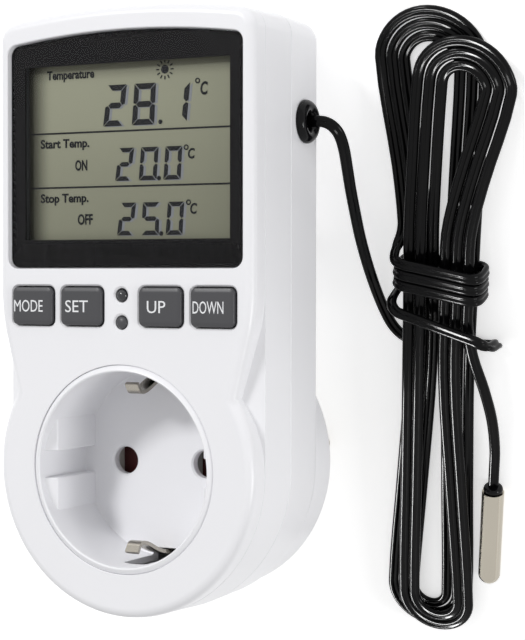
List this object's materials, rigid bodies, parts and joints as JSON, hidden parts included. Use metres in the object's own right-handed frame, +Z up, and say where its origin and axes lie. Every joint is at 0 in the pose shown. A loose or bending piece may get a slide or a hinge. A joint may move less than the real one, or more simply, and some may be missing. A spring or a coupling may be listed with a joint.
{
  "type": "digital temperature controller",
  "caption": "Plug-in digital temperature controller: white two-part housing with an earthed socket, display and keys, an earthed plug behind, and a sensor probe on a tied hank of black lead.",
  "frame": {"origin": "on the supporting surface, below the middle of the housing, plug included; the sensor cord is left out of it", "axes": "+Z up; +X across the housing to the side where the sensor cord leaves; +Y along the housing, from the socket towards the display. The housing lies on its back as pictured, leaning on the two plug pins and its top rear edge, so the front faces up and is tilted 25.9 degrees about X, socket end raised"},
  "size_m": [0.1, 0.1615, 0.0778],
  "materials": {
    "white_plastic": "semi-gloss",
    "grey_keys": "semi-gloss",
    "smoked_lens": "clear polycarbonate",
    "black_print": "gloss",
    "lcd_glass": "gloss",
    "white_reflector": "matte",
    "holder_plastic": "matte",
    "zebra_rubber": "matte",
    "circuit_board": "satin",
    "black_plastic": "satin",
    "black_rubber": "satin",
    "shutter_red": "satin",
    "nickel": "satin",
    "brass": "satin",
    "steel": "brushed",
    "grey_tin": "satin",
    "film_yellow": "satin",
    "varistor_blue": "gloss",
    "ceramic": "matte",
    "wire_brown": "satin",
    "wire_blue": "satin",
    "lamp": "gloss"
  },
  "bodies": {
    "housing": {"front_housing": "white_plastic", "rear_housing": "white_plastic", "display_lens": "smoked_lens", "display_mask": "black_print", "lcd_cell": "lcd_glass", "lcd_reflector": "white_reflector", "lcd_holder": "holder_plastic", "zebra_strips": "zebra_rubber", "display_board": "circuit_board", "control_chip": "black_plastic", "key_switches": "black_plastic", "status_lamp": "lamp", "socket_insert": "white_plastic", "shutter_cover": "holder_plastic", "shutter_spring": "steel", "earth_bracket": "nickel", "contact_line": "brass", "contact_neutral": "brass", "plug_body": "white_plastic", "pin_plate": "holder_plastic", "plug_pin_line": "nickel", "plug_pin_neutral": "nickel", "plug_earth_strips": "nickel", "power_board": "circuit_board", "relay": "black_plastic", "film_capacitor": "film_yellow", "smoothing_capacitor": "black_plastic", "varistor": "varistor_blue", "fuse": "ceramic", "bridge_rectifier": "black_plastic", "sensor_connector": "holder_plastic", "sensor_inner_lead": "black_rubber", "ribbon_cable": "grey_tin", "wire_line": "wire_brown", "wire_neutral": "wire_blue", "board_screws": "steel", "housing_screws": "steel", "cable_grommet": "black_rubber", "sensor_lead": "black_rubber", "sensor_hank": "black_rubber", "probe_seal": "black_rubber", "probe_tube": "steel"},
    "mode_key": {"button_mode": "grey_keys", "plunger_mode": "black_plastic"},
    "set_key": {"button_set": "grey_keys", "plunger_set": "black_plastic"},
    "up_key": {"button_up": "grey_keys", "plunger_up": "black_plastic"},
    "down_key": {"button_down": "grey_keys", "plunger_down": "black_plastic"},
    "reset_key": {"reset_button": "grey_keys", "plunger_reset": "black_plastic"},
    "shutter": {"child_shutter": "shutter_red"}
  },
  "joints": [
    {"name": "mode_key_press", "type": "slide", "parent": "housing", "child": "mode_key", "axis": [0, -0.4365, -0.8997], "range_m": [0, 0.0005], "stiffness_N_per_m": 1500},
    {"name": "set_key_press", "type": "slide", "parent": "housing", "child": "set_key", "axis": [0, -0.4365, -0.8997], "range_m": [0, 0.0005], "stiffness_N_per_m": 1500},
    {"name": "up_key_press", "type": "slide", "parent": "housing", "child": "up_key", "axis": [0, -0.4365, -0.8997], "range_m": [0, 0.0005], "stiffness_N_per_m": 1500},
    {"name": "down_key_press", "type": "slide", "parent": "housing", "child": "down_key", "axis": [0, -0.4365, -0.8997], "range_m": [0, 0.0005], "stiffness_N_per_m": 1500},
    {"name": "reset_key_press", "type": "slide", "parent": "housing", "child": "reset_key", "axis": [0, -0.4365, -0.8997], "range_m": [0, 0.0005], "stiffness_N_per_m": 1500},
    {"name": "shutter_slide", "type": "slide", "parent": "housing", "child": "shutter", "axis": [1, 0, 0], "range_m": [0, 0.0058], "stiffness_N_per_m": 120, "springref_m": -0.001, "deforming": ["shutter_spring"]}
  ]
}
